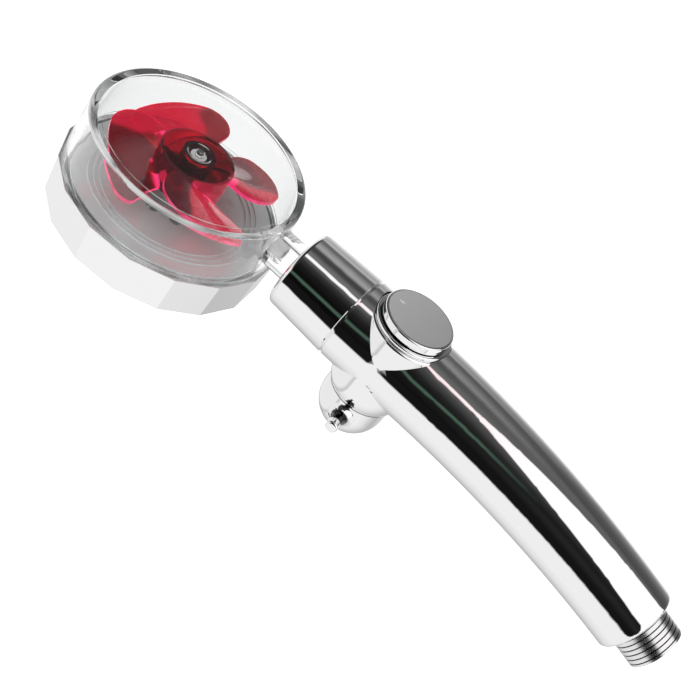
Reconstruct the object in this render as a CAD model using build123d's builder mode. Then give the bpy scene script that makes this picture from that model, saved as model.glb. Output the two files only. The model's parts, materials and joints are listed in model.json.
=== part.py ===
from build123d import *
from math import cos, pi, radians, sin
import os

# Hand shower with a clear fan chamber, a swivel neck and a quarter-turn stop valve.
# Millimetres. Origin at the centre of the spray face, +Z out of the head's clear back,
# +X along the neck axis towards the hose end. Sections are drawn as (radius, height)
# or (distance along an axis, radius) and turned about that axis.

os.makedirs("parts", exist_ok=True)

# ---- Fits and clearances ----
RUNNING_GAP = 0.06       # radial, shaft in bearing
PRESS_GAP = 0.03         # radial, parts pushed or screwed together for good
THREAD_GAP = 0.12        # radial, screwed service joints
AXIAL_PLAY = 0.2         # between shoulders that turn on each other
SEAL_GAP = 0.03          # radial, O-ring to the bore that it wipes

# ---- Clear drum ----
DRUM_TOP_R = 41.0
DRUM_TAPER = 0.9         # wider by this above its foot
DRUM_HEIGHT = 23.5
DRUM_FOOT_STEP = 0.3
DRUM_FOOT_HEIGHT = 1.4
DRUM_WALL = 3.2
BACK_THICKNESS = 2.6
RIM_WIDTH = 3.9
RIM_HEIGHT = 0.5
RIM_ROUND = 1.6
SKIRT_WALL = 2.2

# ---- Face ring: flats all round, a little narrower at the face ----
RING_FLATS = 16
RING_CORNER_ANGLE = 17.0
RING_HEIGHT = 16.1
RING_STEP = 0.27         # flats outside the drum's foot
RING_DRAFT = 0.88        # flats closer in at the face
RING_WALL = 1.79         # flats to bore, at the face
RING_EDGE = 0.5
LIP_WIDTH = 3.5          # lip that holds the spray plate
LIP_HEIGHT = 2.4

# ---- Neck and swivel ----
NECK_BELOW_BACK = 9.1    # neck axis below the top of the rim
NECK_R = 7.4
NECK_BORE_R = 3.2
SPIGOT_R = 6.6
SPIGOT_LENGTH = 19.6
ORING_SECTION_R = 0.55
ORING_GROOVE = 1.4        # width along the shaft
NECK_RING_OFFSETS = (5.4, 10.4)
CLIP_R = 8.8
CLIP_THICKNESS = 1.0
CLIP_GROOVE_DEPTH = 1.0
CLIP_TAIL = 1.8          # spigot left behind the clip
CLIP_MOUTH = 6.0

# ---- Fan ----
BLADES = 4
FIRST_BLADE_ANGLE = 4.0  # high edge of the first blade
FAN_GAP = 5.8            # blade tips to the drum's wall
HUB_RING_R = 14.0
HUB_RING_WALL = 1.1
HUB_RING_HEIGHT = 11.5
HUB_RING_BELOW_BACK = 1.9
HUB_WEB = 1.4
HUB_TUBE_R = 6.2
HUB_TUBE_HEIGHT = 15.0
HUB_RIB_WIDTH = 1.2
POST_R = 4.6
POST_LENGTH = 2.4
POST_GAP = 0.35
HUB_TOP_GAP = 0.5
HUB_RIB_HEIGHT = 5.4
BLADE_THICKNESS = 1.4
BLADE_HIGH_LENGTH = 6.5  # straight stretch of the high edge
BLADE_HIGH_SWEEP = 26.0  # turn over which that edge reaches the tip circle
BLADE_CURVE_SHARE = 0.4  # share of that turn at the curve's middle point
BLADE_LOW_LENGTH = 11.0  # straight stretch of the low edge
BLADE_LOW_TURN = 82.0
BLADE_TIP_TURN = 72.0    # end of the stretch along the tip circle
AXLE_R = 1.5
AXLE_CHAMFER = 0.25
AXLE_SEAT = 1.2          # depth of the axle's socket in the back
BUSH_R = 3.0
WASHER_THICKNESS = 0.5

# ---- Floor plate and spray plate ----
FLOOR_THICKNESS = 2.2
FLOOR_ABOVE_SEAM = 0.4
FLOOR_WALL = 2.0
FLOOR_FLANGE = 2.0
FLOOR_HOLES = 8
FLOOR_HOLE_R = 2.6
FLOOR_HOLE_CIRCLE_R = 12.0
FLOOR_HOLE_ANGLE = 42.0
FLOOR_RIDGE_INSETS = (9.86, 7.76, 5.66)
FLOOR_RIDGE_WIDTH = 0.9
FLOOR_RIDGE_HEIGHT = 0.5
FLOOR_BOSS_R = 4.2
SEAL_THICKNESS = 1.2
PLATE_THICKNESS = 1.0
FLANGE_GAP = 0.4         # clamped flanges inside the ring's bore
PLATE_GAP = 0.25         # plate's raised face inside the lip
JET_R = 0.4
JET_ROWS = 5
JET_ROW_GAP = 5.0
JET_MARGIN = 6.3         # lip to the outermost row
JET_PITCH = 5.2

# ---- Jet nozzle in the neck ----
NOZZLE_HEAD_R = 5.1
NOZZLE_SEAT_DEPTH = 1.2
NOZZLE_HEAD_THICKNESS = 2.6
NOZZLE_TAIL = 6.0
NOZZLE_BORE_R = 2.0
NOZZLE_ANGLE = 25.0
NOZZLE_ROUND = 0.8

# ---- Collar, swivel bush and grip ----
NECK_LENGTH = 10.6       # top of the drum to the collar
COLLAR_LENGTH = 25.7
COLLAR_FRONT_R = 15.3
COLLAR_REAR_R = 16.4
COLLAR_ROUND = 1.8
COLLAR_FACE = 3.0
COLLAR_HOLE_GAP = 0.7
SEAM_EDGE = 0.7
NOSE_R = 13.6            # threaded nose of the grip inside the collar
BUSH_SOCKET_R = 10.4
GRIP_WALL = 2.4
GRIP_END_R = 14.6
GRIP_BULKHEAD = 2.2      # solid stretch behind the seam
STRAIGHT_LENGTH = 35.0
BEND_R = 466.5
BEND_ANGLE = 13.1
GRIP_END_ROUND = 1.6
TUBE_R = 5.0
TUBE_WALL = 1.5
TUBE_FLANGE = 4.0
TUBE_SEAT = 2.0          # sockets in the valve body
TUBE_SOCKET = 4.0        # socket in the hose connector

# ---- Inlet with the G1/2 hose thread ----
THREAD_R = 10.4775
THREAD_DEPTH = 1.16
THREAD_PITCH = 1.814
THREAD_TURNS = 5
STUB_LENGTH = 11.4
PLUG_LENGTH = 9.0
INLET_BORE_R = 7.6
INSERT_WALL = 1.6
INSERT_NOTCHES = 4
INSERT_NOTCH_WIDTH = 2.2
INSERT_NOTCH_DEPTH = 2.6
FILTER_THICKNESS = 0.8
FILTER_HOLE_R = 0.5
FILTER_ROW_RADII = (2.0, 4.2, 6.2)
FILTER_HOLE_PITCH = 2.0
THROAT_LENGTH = 1.5

# ---- Stop valve across the grip ----
VALVE_BEHIND_SEAM = 18.5
VALVE_BODY_R = 8.6
FRONT_BOSS_SINK = 2.4    # boss's top below the collar's radius
FRONT_BOSS_R = 15.5
FRONT_BOSS_ROUND = 1.0
FRONT_BOSS_FLARE = 0.4
FRONT_BOSS_FOOT = 2.5    # above the grip's axis
FRONT_PLUG_FOOT = 5.6    # solid inside the grip from here up
SPOT_FACE_GAP = 0.2
BEZEL_R = 14.7
BEZEL_HEIGHT = 1.7
BEZEL_HOLE_GAP = 0.8
BEZEL_ROUND = 0.7
DIAL_R = 13.3
DIAL_HEIGHT = 3.0
DIAL_ROUND = 0.7
DIAL_GAP = 0.4
DIAL_PLATE_R = 12.3
DIAL_PLATE_THICKNESS = 0.8
POINTER_R = 9.6          # pointer's tip from the dial's centre
POINTER_LENGTH = 2.4
POINTER_WIDTH = 2.2
POINTER_DEPTH = 0.3
DIAL_HUB_R = 6.0
DIAL_HUB_SINK = 2.5      # hub below the front boss's top
DIAL_WEB = 0.8
REAR_BOSS_RISE = 3.4     # boss's end beyond the collar's radius
REAR_BOSS_R = 12.6       # at its end
REAR_BOSS_FLARE = 2.5
REAR_BOSS_SIDE = 7.8     # height over which it flares
REAR_BOSS_FOOT = 4.5     # below the grip's axis
REAR_PLUG_FOOT = 8.5     # solid inside the grip from here down
REAR_PLUG_R = 12.0
REAR_BOSS_FLOOR = 1.5
CAP_R = 12.6
CAP_SIDE = 5.7           # straight side above the dome
CAP_WALL = 2.6
CAP_CAVITY = 8.5
CAP_HUB_R = 6.4
SPINDLE_R = 5.0
SPINDLE_HOLE_GAP = 0.35
SPINDLE_FLAT = 6.4       # square ends that drive the dial and the cap
CAP_SQUARE = 7.0
SPINDLE_RING_OFFSET = 8.0
PORT_R = 3.2
SCREW_R = 1.5
SCREW_HEAD_R = 2.9
SCREW_HEAD_HEIGHT = 1.6
SCREW_LENGTH = 8.0
HEX_KEY = 2.5
PEG_R = 2.4
PEG_ROOT_R = 5.0
PEG_ROOT_LENGTH = 4.2
PEG_SINK = 1.2           # root below the cap's side
PEG_REACH = 20.4         # from the valve axis to the peg's round end
PEG_END_ROUND = 0.9
PEG_ANGLE = -84.0
PEG_SHANK_R = 1.4
PEG_SHANK_SEAT = 1.5

# ---- Places worked out from the sizes above ----
SEAM_Z = RING_HEIGHT
RIM_Z = SEAM_Z + DRUM_HEIGHT
BACK_Z = RIM_Z - RIM_HEIGHT
CEILING_Z = BACK_Z - BACK_THICKNESS
NECK_Z = RIM_Z - NECK_BELOW_BACK
DRUM_CONE = DRUM_TAPER / (DRUM_HEIGHT - DRUM_FOOT_HEIGHT)
DRUM_LOW_R = DRUM_TOP_R + DRUM_TAPER
DRUM_FOOT_R = DRUM_LOW_R + DRUM_FOOT_STEP
WALL_X = DRUM_TOP_R + DRUM_CONE * NECK_BELOW_BACK - DRUM_WALL
RING_TOP_R = DRUM_FOOT_R + RING_STEP
RING_FACE_R = RING_TOP_R - RING_DRAFT
RING_BORE_R = RING_FACE_R - RING_WALL
LIP_R = RING_BORE_R - LIP_WIDTH

GASKET_Z = LIP_HEIGHT + PLATE_THICKNESS
FLANGE_Z = GASKET_Z + SEAL_THICKNESS
SEAL_Z = FLANGE_Z + FLOOR_FLANGE
SKIRT_Z = SEAL_Z + SEAL_THICKNESS
SKIRT_R = RING_BORE_R - THREAD_GAP
SKIRT_BORE_R = SKIRT_R - SKIRT_WALL
FLANGE_R = RING_BORE_R - FLANGE_GAP
FLOOR_R = SKIRT_BORE_R - THREAD_GAP
FLOOR_Z = SEAM_Z + FLOOR_ABOVE_SEAM

FAN_R = DRUM_TOP_R - DRUM_WALL - FAN_GAP
BLADE_HIGH_R = HUB_RING_R + BLADE_HIGH_LENGTH
BLADE_LOW_R = HUB_RING_R + BLADE_LOW_LENGTH
BLADE_CURVE_R = (BLADE_HIGH_R + 2 * FAN_R) / 3
HUB_TOP_Z = CEILING_Z - HUB_TOP_GAP
HUB_BOTTOM_Z = HUB_TOP_Z - HUB_TUBE_HEIGHT
HUB_RING_TOP_Z = CEILING_Z - HUB_RING_BELOW_BACK
HUB_RING_Z = HUB_RING_TOP_Z - HUB_RING_HEIGHT
POST_Z = CEILING_Z - POST_LENGTH
HUB_RECESS_Z = POST_Z - POST_GAP
BLADE_TOP_Z = HUB_RING_TOP_Z - BLADE_THICKNESS / 2
FLOOR_BOSS_Z = HUB_BOTTOM_Z - AXIAL_PLAY - WASHER_THICKNESS

COLLAR_FRONT_X = DRUM_TOP_R + NECK_LENGTH
COLLAR_REAR_X = COLLAR_FRONT_X + COLLAR_LENGTH
COLLAR_INNER_X = COLLAR_FRONT_X + COLLAR_FACE
SPIGOT_X = COLLAR_INNER_X - AXIAL_PLAY
SPIGOT_END_X = SPIGOT_X + SPIGOT_LENGTH
CLIP_X = SPIGOT_END_X - CLIP_TAIL - CLIP_THICKNESS
BUSH_REAR_X = CLIP_X - AXIAL_PLAY
BUSH_BORE_R = SPIGOT_R + RUNNING_GAP
NECK_RING_R = BUSH_BORE_R - SEAL_GAP
BULKHEAD_X = COLLAR_REAR_X + GRIP_BULKHEAD
GRIP_LENGTH = STRAIGHT_LENGTH + BEND_R * radians(BEND_ANGLE)
VALVE_X = COLLAR_REAR_X + VALVE_BEHIND_SEAM
BEND_X = COLLAR_REAR_X + STRAIGHT_LENGTH
FRONT_TUBE_LENGTH = VALVE_X - VALVE_BODY_R + TUBE_SEAT - BULKHEAD_X
REAR_TUBE_START = VALVE_BEHIND_SEAM + VALVE_BODY_R - TUBE_SEAT
REAR_TUBE_END = GRIP_LENGTH - PLUG_LENGTH + TUBE_SOCKET - AXIAL_PLAY
SOCKET_FLOOR = TUBE_SOCKET - PLUG_LENGTH
MOUTH_FLOOR = SOCKET_FLOOR + THROAT_LENGTH

FRONT_BOSS_TOP = COLLAR_REAR_R - FRONT_BOSS_SINK
REAR_BOSS_TOP = COLLAR_REAR_R + REAR_BOSS_RISE
BEZEL_TOP = FRONT_BOSS_TOP + BEZEL_HEIGHT
DIAL_BASE = BEZEL_TOP + DIAL_GAP
DIAL_TOP = DIAL_BASE + DIAL_HEIGHT
DIAL_SEAT = DIAL_TOP - DIAL_PLATE_THICKNESS
SCREW_SEAT = DIAL_SEAT - SCREW_HEAD_HEIGHT
SQUARE_TOP = SCREW_SEAT - DIAL_WEB
HUB_BASE = FRONT_BOSS_TOP - DIAL_HUB_SINK
SPINDLE_TOP = HUB_BASE - AXIAL_PLAY
CAP_RIM = -REAR_BOSS_TOP - AXIAL_PLAY
SPINDLE_END = CAP_RIM - CAP_SQUARE
SPINDLE_BORE_R = SPINDLE_R + RUNNING_GAP
SPINDLE_RING_R = SPINDLE_BORE_R - SEAL_GAP
VALVE_BODY_BASE = REAR_BOSS_FLOOR - REAR_BOSS_TOP
PEG_HEIGHT = CAP_RIM - CAP_SIDE
PEG_START = CAP_R - PEG_SINK

NECK_AXIS = Axis((0, 0, NECK_Z), (1, 0, 0))
VALVE_AXIS = Axis((VALVE_X, 0, 0), (0, 0, 1))
NECK_SECTION = Plane(origin=(0, 0, NECK_Z), x_dir=(1, 0, 0), z_dir=(0, -1, 0))
VALVE_SECTION = Plane(origin=(VALVE_X, 0, NECK_Z), x_dir=(1, 0, 0), z_dir=(0, -1, 0))

PEG_PLANE = Plane(
    origin=(VALVE_X, 0, NECK_Z + PEG_HEIGHT),
    x_dir=(0, 0, 1),
    z_dir=(cos(radians(PEG_ANGLE)), sin(radians(PEG_ANGLE)), 0),
)
PEG_SECTION = Plane(origin=PEG_PLANE.origin, x_dir=PEG_PLANE.z_dir, z_dir=PEG_PLANE.y_dir)
PEG_AXIS = Axis(PEG_PLANE.origin, PEG_PLANE.z_dir)


def across_neck(x):
    """Plane across the neck axis at x, facing the hose end."""
    return Plane(origin=(x, 0, NECK_Z), x_dir=(0, 1, 0), z_dir=(1, 0, 0))


def across_grip(along):
    """Plane across the grip's centre line, at a distance behind the collar's seam."""
    if along <= STRAIGHT_LENGTH:
        return across_neck(COLLAR_REAR_X + along)
    turn = (along - STRAIGHT_LENGTH) / BEND_R
    centre = (BEND_X + BEND_R * sin(turn), 0, NECK_Z - BEND_R * (1 - cos(turn)))
    return Plane(origin=centre, x_dir=(0, 1, 0), z_dir=(cos(turn), 0, -sin(turn)))


def grip_radius(along):
    """Outer radius of the grip, tapering evenly to its end."""
    return COLLAR_REAR_R + (GRIP_END_R - COLLAR_REAR_R) * along / GRIP_LENGTH


def bend_path(end):
    """Centre line of the bent stretch, up to a distance behind the seam."""
    start, stop = across_grip(STRAIGHT_LENGTH), across_grip(end)
    return TangentArc(start.origin, stop.origin, tangent=start.z_dir)


def at_valve(height):
    """Plane across the valve axis, at a height above the grip's axis."""
    return Plane(origin=(VALVE_X, 0, NECK_Z + height), x_dir=(1, 0, 0), z_dir=(0, 0, 1))


def groove(position, floor_r, width, open_r):
    """Rectangle in a (distance, radius) section that cuts a groove down to floor_r."""
    with Locations((position, (floor_r + open_r) / 2)):
        Rectangle(width, open_r - floor_r)


def keep(block, name):
    """Label a finished piece and write it out."""
    block.part.label = name
    export_step(block.part, f"parts/{name}.step")


# ======================= Head =======================

# Face ring: a faceted nut that screws onto the drum's skirt and carries the spray plate.
with BuildPart() as face_ring:
    with BuildSketch():
        RegularPolygon(RING_FACE_R, RING_FLATS, major_radius=False, rotation=RING_CORNER_ANGLE)
    with BuildSketch(Plane.XY.offset(RING_HEIGHT)):
        RegularPolygon(RING_TOP_R, RING_FLATS, major_radius=False, rotation=RING_CORNER_ANGLE)
    loft()
    chamfer(face_ring.edges().group_by(Axis.Z)[0], RING_EDGE)
    with BuildSketch(Plane.XY.offset(LIP_HEIGHT)):
        Circle(RING_BORE_R)
    extrude(amount=RING_HEIGHT, mode=Mode.SUBTRACT)
    with BuildSketch():
        Circle(LIP_R)
    extrude(amount=LIP_HEIGHT, mode=Mode.SUBTRACT)
keep(face_ring, "face_ring")

# Clear drum, its back, the threaded skirt, the neck with its spigot and the fan's post.
with BuildPart() as chamber_housing:
    with BuildSketch(Plane.XZ):
        Polygon(
            (0, SKIRT_Z),
            (SKIRT_R, SKIRT_Z),
            (SKIRT_R, SEAM_Z),
            (DRUM_FOOT_R, SEAM_Z),
            (DRUM_FOOT_R, SEAM_Z + DRUM_FOOT_HEIGHT),
            (DRUM_LOW_R, SEAM_Z + DRUM_FOOT_HEIGHT),
            (DRUM_TOP_R, RIM_Z),
            (0, RIM_Z),
            align=None,
        )
    revolve()
    fillet(chamber_housing.edges().group_by(Axis.Z)[-1], RIM_ROUND)
    with BuildSketch(across_neck(WALL_X)):
        Circle(NECK_R)
    extrude(amount=SPIGOT_X - WALL_X)
    with BuildSketch(across_neck(SPIGOT_X)):
        Circle(SPIGOT_R)
    extrude(amount=SPIGOT_LENGTH)
    with BuildSketch(Plane.XY.offset(BACK_Z)):
        Circle(DRUM_TOP_R - RIM_WIDTH)
    extrude(amount=RIM_HEIGHT, mode=Mode.SUBTRACT)
    with BuildSketch(Plane.XZ):
        Polygon(
            (0, SKIRT_Z),
            (SKIRT_BORE_R, SKIRT_Z),
            (SKIRT_BORE_R, SEAM_Z),
            (DRUM_LOW_R - DRUM_WALL, SEAM_Z),
            (DRUM_TOP_R - DRUM_WALL, CEILING_Z),
            (0, CEILING_Z),
            align=None,
        )
    revolve(mode=Mode.SUBTRACT)
    with BuildSketch(Plane.XY.offset(POST_Z)):
        Circle(POST_R)
    extrude(amount=POST_LENGTH)
    with BuildSketch(Plane.XY.offset(POST_Z)):
        Circle(AXLE_R + PRESS_GAP)
    extrude(amount=POST_LENGTH + AXLE_SEAT, mode=Mode.SUBTRACT)
    with BuildSketch(across_neck(WALL_X)):
        Circle(NECK_BORE_R)
    extrude(amount=SPIGOT_END_X - WALL_X, mode=Mode.SUBTRACT)
    with BuildSketch(across_neck(WALL_X + NOZZLE_SEAT_DEPTH)):
        Circle(NOZZLE_HEAD_R + PRESS_GAP)
    extrude(amount=-NOZZLE_HEAD_THICKNESS, mode=Mode.SUBTRACT)
    with BuildSketch(NECK_SECTION):
        for offset in NECK_RING_OFFSETS:
            groove(SPIGOT_X + offset, NECK_RING_R - 2 * ORING_SECTION_R, ORING_GROOVE, NECK_R)
        groove(CLIP_X + CLIP_THICKNESS / 2, SPIGOT_R - CLIP_GROOVE_DEPTH, CLIP_THICKNESS, NECK_R)
    revolve(axis=NECK_AXIS, mode=Mode.SUBTRACT)
keep(chamber_housing, "chamber_housing")

# Two O-rings on the spigot.
with BuildPart() as neck_o_rings:
    with BuildSketch(NECK_SECTION):
        for offset in NECK_RING_OFFSETS:
            with Locations((SPIGOT_X + offset, NECK_RING_R - ORING_SECTION_R)):
                Circle(ORING_SECTION_R)
    revolve(axis=NECK_AXIS)
keep(neck_o_rings, "neck_o_rings")

# Open retaining clip that keeps the spigot in its bush.
with BuildPart() as neck_clip:
    with BuildSketch(across_neck(CLIP_X)):
        Circle(CLIP_R)
        Circle(SPIGOT_R - CLIP_GROOVE_DEPTH, mode=Mode.SUBTRACT)
        with Locations((0, CLIP_R)):
            Rectangle(CLIP_MOUTH, 2 * CLIP_R, mode=Mode.SUBTRACT)
    extrude(amount=CLIP_THICKNESS)
keep(neck_clip, "neck_clip")

# Nozzle insert that turns the water from the neck against the blades.
with BuildPart() as jet_nozzle:
    with BuildSketch(across_neck(WALL_X + NOZZLE_SEAT_DEPTH)):
        Circle(NOZZLE_HEAD_R)
    extrude(amount=-NOZZLE_HEAD_THICKNESS)
    fillet(jet_nozzle.edges().group_by(Axis.X)[0], NOZZLE_ROUND)
    with BuildSketch(across_neck(WALL_X + NOZZLE_SEAT_DEPTH)):
        Circle(NECK_BORE_R - PRESS_GAP)
    extrude(amount=NOZZLE_TAIL)
    with BuildSketch(across_neck(WALL_X + NOZZLE_SEAT_DEPTH)):
        Circle(NOZZLE_BORE_R)
    extrude(amount=NOZZLE_TAIL, mode=Mode.SUBTRACT)
    with BuildSketch(
        Plane(
            origin=(WALL_X + NOZZLE_SEAT_DEPTH + NOZZLE_BORE_R, 0, NECK_Z),
            z_dir=(-cos(radians(NOZZLE_ANGLE)), sin(radians(NOZZLE_ANGLE)), 0),
        )
    ):
        Circle(NOZZLE_BORE_R * cos(radians(NOZZLE_ANGLE)))
    extrude(amount=NOZZLE_HEAD_R + NOZZLE_TAIL, mode=Mode.SUBTRACT)
keep(jet_nozzle, "jet_nozzle")

# Floor plate under the fan: water holes, three raised rings, the lower axle boss and a
# hollow skirt that stands on its clamped flange.
with BuildPart() as floor_plate:
    with BuildSketch(Plane.XZ):
        Polygon(
            (0, FLOOR_Z - FLOOR_THICKNESS),
            (FLOOR_R - FLOOR_WALL, FLOOR_Z - FLOOR_THICKNESS),
            (FLOOR_R - FLOOR_WALL, FLANGE_Z),
            (FLANGE_R, FLANGE_Z),
            (FLANGE_R, SEAL_Z),
            (FLOOR_R, SEAL_Z),
            (FLOOR_R, FLOOR_Z),
            (FLOOR_BOSS_R, FLOOR_Z),
            (FLOOR_BOSS_R, FLOOR_BOSS_Z),
            (0, FLOOR_BOSS_Z),
            align=None,
        )
        for inset in FLOOR_RIDGE_INSETS:
            with Locations((FLOOR_R - inset, FLOOR_Z)):
                Rectangle(FLOOR_RIDGE_WIDTH, 2 * FLOOR_RIDGE_HEIGHT)
    revolve()
    with BuildSketch(Plane.XY.offset(FLOOR_Z)):
        with PolarLocations(FLOOR_HOLE_CIRCLE_R, FLOOR_HOLES, start_angle=FLOOR_HOLE_ANGLE):
            Circle(FLOOR_HOLE_R)
    extrude(amount=-FLOOR_THICKNESS, mode=Mode.SUBTRACT)
    with BuildSketch(Plane.XY.offset(FLOOR_Z)):
        Circle(AXLE_R + PRESS_GAP)
    extrude(amount=FLOOR_BOSS_Z - FLOOR_Z, mode=Mode.SUBTRACT)
keep(floor_plate, "floor_plate")

# Seal between the skirt and the floor plate, and gasket under the floor plate.
with BuildPart() as chamber_seal:
    with BuildSketch(Plane.XY.offset(SEAL_Z)):
        Circle(FLANGE_R)
        Circle(FLOOR_R + THREAD_GAP, mode=Mode.SUBTRACT)
    extrude(amount=SEAL_THICKNESS)
keep(chamber_seal, "chamber_seal")

with BuildPart() as spray_gasket:
    with BuildSketch(Plane.XY.offset(GASKET_Z)):
        Circle(FLANGE_R)
        Circle(FLOOR_R - FLOOR_WALL, mode=Mode.SUBTRACT)
    extrude(amount=SEAL_THICKNESS)
keep(spray_gasket, "spray_gasket")

# Stainless spray plate: a shallow pan whose raised face shows through the ring's lip.
with BuildPart() as spray_plate:
    with BuildSketch(Plane.XZ):
        Polygon(
            (0, 0),
            (LIP_R - PLATE_GAP, 0),
            (LIP_R - PLATE_GAP, LIP_HEIGHT),
            (FLANGE_R, LIP_HEIGHT),
            (FLANGE_R, GASKET_Z),
            (LIP_R - PLATE_GAP - PLATE_THICKNESS, GASKET_Z),
            (LIP_R - PLATE_GAP - PLATE_THICKNESS, PLATE_THICKNESS),
            (0, PLATE_THICKNESS),
            align=None,
        )
    revolve()
    with BuildSketch():
        for row in range(JET_ROWS):
            radius = LIP_R - JET_MARGIN - row * JET_ROW_GAP
            with PolarLocations(radius, round(2 * pi * radius / JET_PITCH)):
                Circle(JET_R)
    extrude(amount=PLATE_THICKNESS, mode=Mode.SUBTRACT)
keep(spray_plate, "spray_plate")

# ======================= Fan =======================

# A blade's middle surface winds down from its high edge: (turn in degrees, drop)
BLADE_STATIONS = ((-6.0, 0.0), (20.0, 0.5), (45.0, 3.3), (65.0, 6.5), (88.0, 10.8))


def polar(radius, angle):
    """Point at an angle in degrees, counted from the first blade's high edge."""
    return (radius * cos(radians(angle)), radius * sin(radians(angle)))


# One blade: a winding sheet, cut to its outline seen from above.
with BuildPart() as blade:
    for turn, drop in BLADE_STATIONS:
        radial_plane = Plane(
            origin=(0, 0, BLADE_TOP_Z - drop),
            x_dir=(*polar(1, turn), 0),
            z_dir=(*polar(1, turn + 90), 0),
        )
        with BuildSketch(radial_plane):
            with Locations((HUB_RING_R / 2, 0)):
                Rectangle(FAN_R, BLADE_THICKNESS, align=(Align.MIN, Align.CENTER))
    loft()
    with BuildSketch(Plane.XY.offset(HUB_BOTTOM_Z)):
        with BuildLine():
            Line(polar(HUB_RING_R, 0), polar(BLADE_HIGH_R, 0))
            ThreePointArc(
                polar(BLADE_HIGH_R, 0),
                polar(BLADE_CURVE_R, BLADE_HIGH_SWEEP * BLADE_CURVE_SHARE),
                polar(FAN_R, BLADE_HIGH_SWEEP),
            )
            ThreePointArc(
                polar(FAN_R, BLADE_HIGH_SWEEP),
                polar(FAN_R, (BLADE_HIGH_SWEEP + BLADE_TIP_TURN) / 2),
                polar(FAN_R, BLADE_TIP_TURN),
            )
            TangentArc(
                polar(FAN_R, BLADE_TIP_TURN),
                polar(BLADE_LOW_R, BLADE_LOW_TURN),
                tangent=polar(1, BLADE_TIP_TURN + 90),
            )
            Polyline(
                polar(BLADE_LOW_R, BLADE_LOW_TURN),
                polar(HUB_RING_R, BLADE_LOW_TURN),
                polar(HUB_RING_R, 0),
            )
        make_face()
    extrude(amount=HUB_TUBE_HEIGHT, mode=Mode.INTERSECT)

with BuildPart() as fan:
    with PolarLocations(0, BLADES, start_angle=FIRST_BLADE_ANGLE):
        add(blade.part)
    with BuildSketch(Plane.XY.offset(HUB_BOTTOM_Z)):
        Circle(HUB_RING_R - HUB_RING_WALL)
    extrude(amount=HUB_TUBE_HEIGHT, mode=Mode.SUBTRACT)
    with BuildSketch(Plane.XY.offset(HUB_RING_Z)):
        Circle(HUB_RING_R)
        Circle(HUB_RING_R - HUB_RING_WALL, mode=Mode.SUBTRACT)
    extrude(amount=HUB_RING_HEIGHT)
    with BuildSketch(Plane.XY.offset(HUB_RING_Z)):
        Circle(HUB_RING_R)
    extrude(amount=HUB_WEB)
    with BuildSketch(Plane.XY.offset(HUB_RING_Z)):
        with PolarLocations(0, BLADES, start_angle=FIRST_BLADE_ANGLE):
            Rectangle(HUB_RING_R - HUB_RING_WALL, HUB_RIB_WIDTH, align=(Align.MIN, Align.CENTER))
    extrude(amount=HUB_RIB_HEIGHT)
    with BuildSketch(Plane.XY.offset(HUB_BOTTOM_Z)):
        Circle(HUB_TUBE_R)
    extrude(amount=HUB_TUBE_HEIGHT)
    with BuildSketch(Plane.XY.offset(HUB_BOTTOM_Z)):
        Circle(BUSH_R + PRESS_GAP)
    extrude(amount=HUB_TUBE_HEIGHT, mode=Mode.SUBTRACT)
    with BuildSketch(Plane.XY.offset(HUB_RECESS_Z)):
        Circle(POST_R + POST_GAP)
    extrude(amount=HUB_TOP_Z - HUB_RECESS_Z, mode=Mode.SUBTRACT)
keep(fan, "fan")

with BuildPart() as fan_bush:
    with BuildSketch(Plane.XY.offset(HUB_BOTTOM_Z)):
        Circle(BUSH_R)
        Circle(AXLE_R + RUNNING_GAP, mode=Mode.SUBTRACT)
    extrude(amount=HUB_RECESS_Z - HUB_BOTTOM_Z)
keep(fan_bush, "fan_bush")

with BuildPart() as thrust_washer:
    with BuildSketch(Plane.XY.offset(FLOOR_BOSS_Z)):
        Circle(FLOOR_BOSS_R)
        Circle(AXLE_R + PRESS_GAP, mode=Mode.SUBTRACT)
    extrude(amount=WASHER_THICKNESS)
keep(thrust_washer, "thrust_washer")

with BuildPart() as fan_axle:
    with BuildSketch(Plane.XY.offset(FLOOR_Z)):
        Circle(AXLE_R)
    extrude(amount=CEILING_Z + AXLE_SEAT - FLOOR_Z)
    chamfer(fan_axle.edges(), AXLE_CHAMFER)
keep(fan_axle, "fan_axle")

# ======================= Collar, swivel and grip =======================

# Chromed sleeve nut over the swivel.
with BuildPart() as collar:
    with BuildSketch(NECK_SECTION):
        Polygon(
            (COLLAR_FRONT_X, NECK_R + COLLAR_HOLE_GAP),
            (COLLAR_FRONT_X, COLLAR_FRONT_R),
            (COLLAR_REAR_X, COLLAR_REAR_R),
            (COLLAR_REAR_X, NOSE_R + THREAD_GAP),
            (COLLAR_INNER_X, NOSE_R + THREAD_GAP),
            (COLLAR_INNER_X, NECK_R + COLLAR_HOLE_GAP),
            align=None,
        )
    revolve(axis=NECK_AXIS)
    fillet(collar.edges().group_by(Axis.X)[0].sort_by(SortBy.RADIUS)[-1], COLLAR_ROUND)
    chamfer(collar.edges().group_by(Axis.X)[-1].sort_by(SortBy.RADIUS)[-1], SEAM_EDGE)
keep(collar, "collar")

# Bush in the grip's nose, in which the head's spigot turns.
with BuildPart() as swivel_bush:
    with BuildSketch(across_neck(COLLAR_INNER_X)):
        Circle(BUSH_SOCKET_R)
        Circle(BUSH_BORE_R, mode=Mode.SUBTRACT)
    extrude(amount=BUSH_REAR_X - COLLAR_INNER_X)
keep(swivel_bush, "swivel_bush")

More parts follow.
